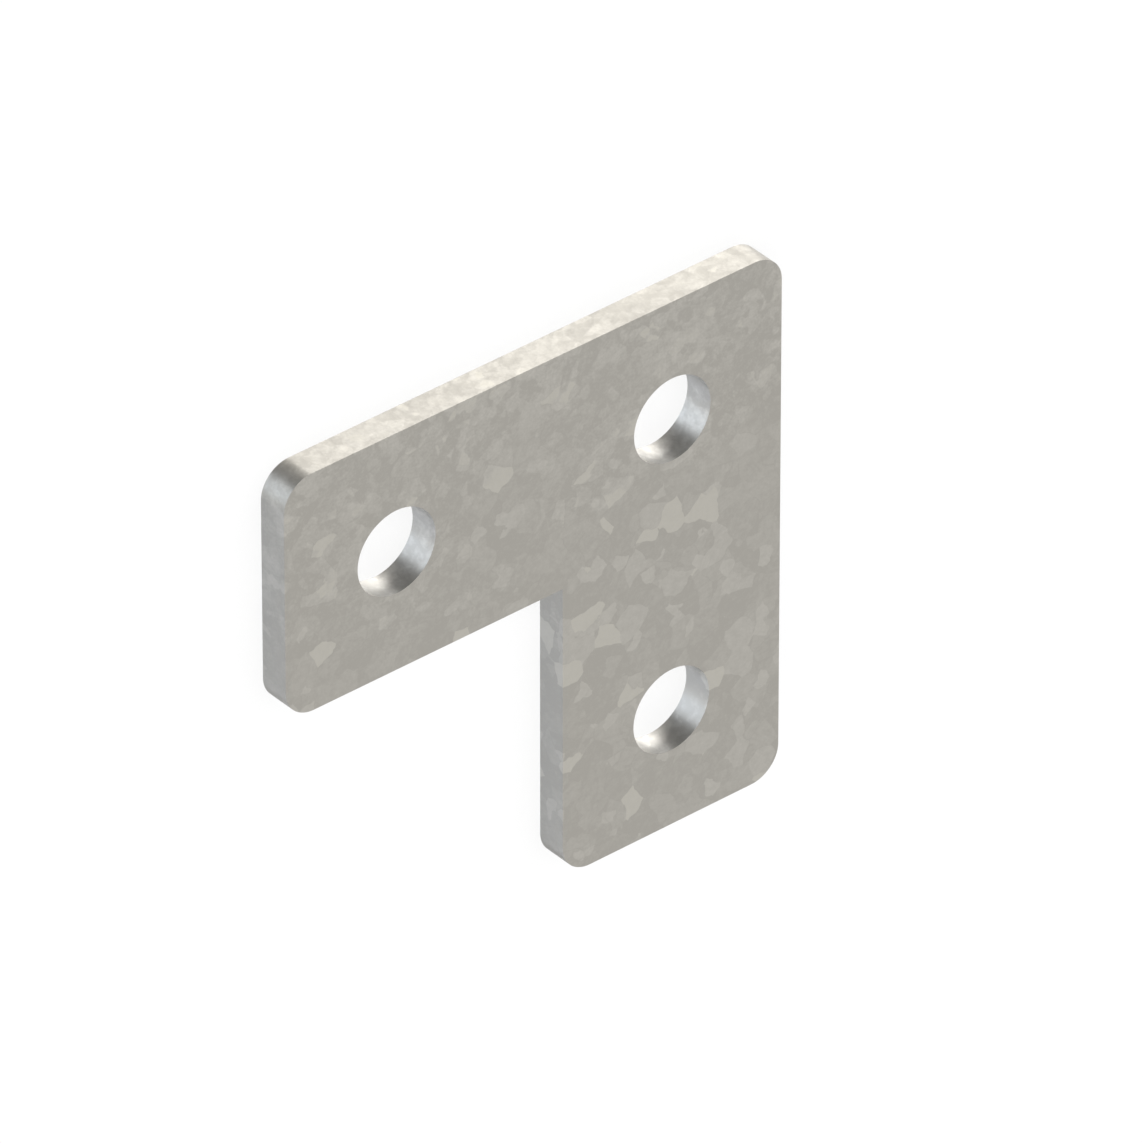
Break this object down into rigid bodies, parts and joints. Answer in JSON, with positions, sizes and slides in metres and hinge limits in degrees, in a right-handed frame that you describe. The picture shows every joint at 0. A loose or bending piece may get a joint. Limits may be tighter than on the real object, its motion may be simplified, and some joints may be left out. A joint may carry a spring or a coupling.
{
  "type": "strut angle bracket",
  "caption": "Flat L-shaped steel angle plate with rounded outer corners and a round bolt hole at the corner and in each arm, galvanised, for joining strut channel.",
  "frame": {"origin": "centre of the corner bolt hole, on the back face, which is the plane that the plate lies on", "axes": "+X and +Y along the two arms, +Z through the thickness, out of the front face"},
  "size_m": [0.09, 0.09, 0.005],
  "materials": {
    "galvanised_steel": "hot-dip galvanised, dull grey with a faint crystal pattern"
  },
  "bodies": {
    "root": {"angle_plate": "galvanised_steel"}
  },
  "joints": []
}
